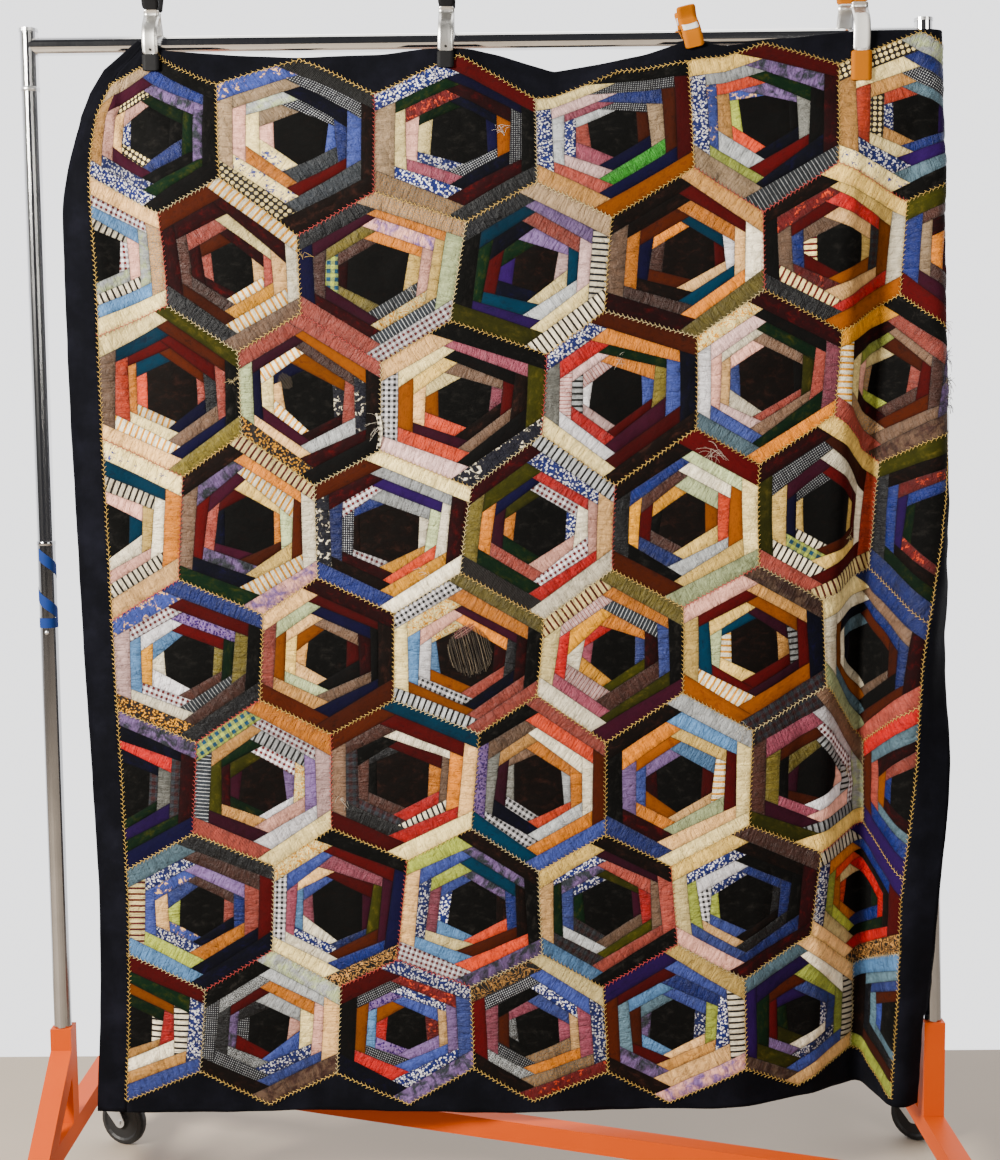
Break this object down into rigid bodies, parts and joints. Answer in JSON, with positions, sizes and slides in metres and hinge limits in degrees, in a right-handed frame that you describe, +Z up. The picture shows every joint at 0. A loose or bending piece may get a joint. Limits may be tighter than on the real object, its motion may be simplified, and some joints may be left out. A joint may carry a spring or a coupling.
{
  "type": "crazy quilt on a garment rack",
  "caption": "Crazy quilt pieced in log-cabin hexagons with a dark border, hung by spring clamps from a chrome and orange rolling rack.",
  "frame": {"origin": "on the floor, midway between the rack's uprights", "axes": "+X along the rail to the right as the quilt is seen, +Y away from the quilt's face, +Z up"},
  "size_m": [1.714, 0.6311, 2.2425],
  "materials": {
    "field_patchwork": "matte pieced silks and velvets",
    "border_cotton": "matte plain weave",
    "chrome_tube": "polished",
    "tube_cap": "satin",
    "orange_paint": "semi-gloss",
    "zinc_plate": "zinc plated",
    "wheel_rubber": "satin",
    "clamp_steel": "plated",
    "black_vinyl": "dipped vinyl",
    "orange_vinyl": "dipped vinyl"
  },
  "bodies": {
    "stand": {"border_bottom": "border_cotton", "border_left": "border_cotton", "border_right": "border_cotton", "border_top": "border_cotton", "brace_left": "orange_paint", "brace_right": "orange_paint", "castor_plate_back_left": "zinc_plate", "castor_plate_back_right": "zinc_plate", "castor_plate_front_left": "zinc_plate", "castor_plate_front_right": "zinc_plate", "clamp_1_arm_front": "clamp_steel", "clamp_1_arm_rear": "clamp_steel", "clamp_1_grip_front": "black_vinyl", "clamp_1_grip_rear": "black_vinyl", "clamp_1_pad_front": "black_vinyl", "clamp_1_pad_rear": "black_vinyl", "clamp_1_pin": "clamp_steel", "clamp_2_arm_front": "clamp_steel", "clamp_2_arm_rear": "clamp_steel", "clamp_2_grip_front": "black_vinyl", "clamp_2_grip_rear": "black_vinyl", "clamp_2_pad_front": "black_vinyl", "clamp_2_pad_rear": "black_vinyl", "clamp_2_pin": "clamp_steel", "clamp_3_arm_front": "orange_vinyl", "clamp_3_arm_rear": "orange_vinyl", "clamp_3_pin": "clamp_steel", "clamp_4_arm_front": "clamp_steel", "clamp_4_arm_rear": "clamp_steel", "clamp_4_grip_front": "orange_vinyl", "clamp_4_grip_rear": "orange_vinyl", "clamp_4_pad_front": "orange_vinyl", "clamp_4_pad_rear": "orange_vinyl", "clamp_4_pin": "clamp_steel", "cross_bar": "orange_paint", "foot_bar_left": "orange_paint", "foot_bar_right": "orange_paint", "hanging_rail": "chrome_tube", "quilt_field": "field_patchwork", "socket_post_left": "orange_paint", "socket_post_right": "orange_paint", "upright_cap_left": "tube_cap", "upright_cap_right": "tube_cap", "upright_lower_left": "chrome_tube", "upright_lower_right": "chrome_tube", "upright_upper_left": "chrome_tube", "upright_upper_right": "chrome_tube"},
    "fork_front_left": {"castor_fork_front_left": "zinc_plate", "castor_axle_front_left": "zinc_plate"},
    "wheel_front_left": {"castor_wheel_front_left": "wheel_rubber"},
    "fork_back_left": {"castor_fork_back_left": "zinc_plate", "castor_axle_back_left": "zinc_plate"},
    "wheel_back_left": {"castor_wheel_back_left": "wheel_rubber"},
    "fork_front_right": {"castor_fork_front_right": "zinc_plate", "castor_axle_front_right": "zinc_plate"},
    "wheel_front_right": {"castor_wheel_front_right": "wheel_rubber"},
    "fork_back_right": {"castor_fork_back_right": "zinc_plate", "castor_axle_back_right": "zinc_plate"},
    "wheel_back_right": {"castor_wheel_back_right": "wheel_rubber"}
  },
  "joints": [
    {"name": "swivel_front_left", "type": "hinge", "parent": "stand", "child": "fork_front_left", "pos_m": [-0.8, -0.282, 0.1085], "axis": [0, 0, 1], "continuous": true},
    {"name": "spin_front_left", "type": "hinge", "parent": "fork_front_left", "child": "wheel_front_left", "pos_m": [-0.75598, -0.29136, 0.05], "axis": [0.2079, 0.9781, 0], "continuous": true},
    {"name": "swivel_back_left", "type": "hinge", "parent": "stand", "child": "fork_back_left", "pos_m": [-0.8, 0.282, 0.1085], "axis": [0, 0, 1], "continuous": true},
    {"name": "spin_back_left", "type": "hinge", "parent": "fork_back_left", "child": "wheel_back_left", "pos_m": [-0.75889, 0.2637, 0.05], "axis": [0.4067, 0.9135, 0], "continuous": true},
    {"name": "swivel_front_right", "type": "hinge", "parent": "stand", "child": "fork_front_right", "pos_m": [0.8, -0.282, 0.1085], "axis": [0, 0, 1], "continuous": true},
    {"name": "spin_front_right", "type": "hinge", "parent": "fork_front_right", "child": "wheel_front_right", "pos_m": [0.8428, -0.29591, 0.05], "axis": [0.309, 0.9511, 0], "continuous": true},
    {"name": "swivel_back_right", "type": "hinge", "parent": "stand", "child": "fork_back_right", "pos_m": [0.8, 0.282, 0.1085], "axis": [0, 0, 1], "continuous": true},
    {"name": "spin_back_right", "type": "hinge", "parent": "fork_back_right", "child": "wheel_back_right", "pos_m": [0.83731, 0.25684, 0.05], "axis": [0.5592, 0.829, 0], "continuous": true}
  ]
}
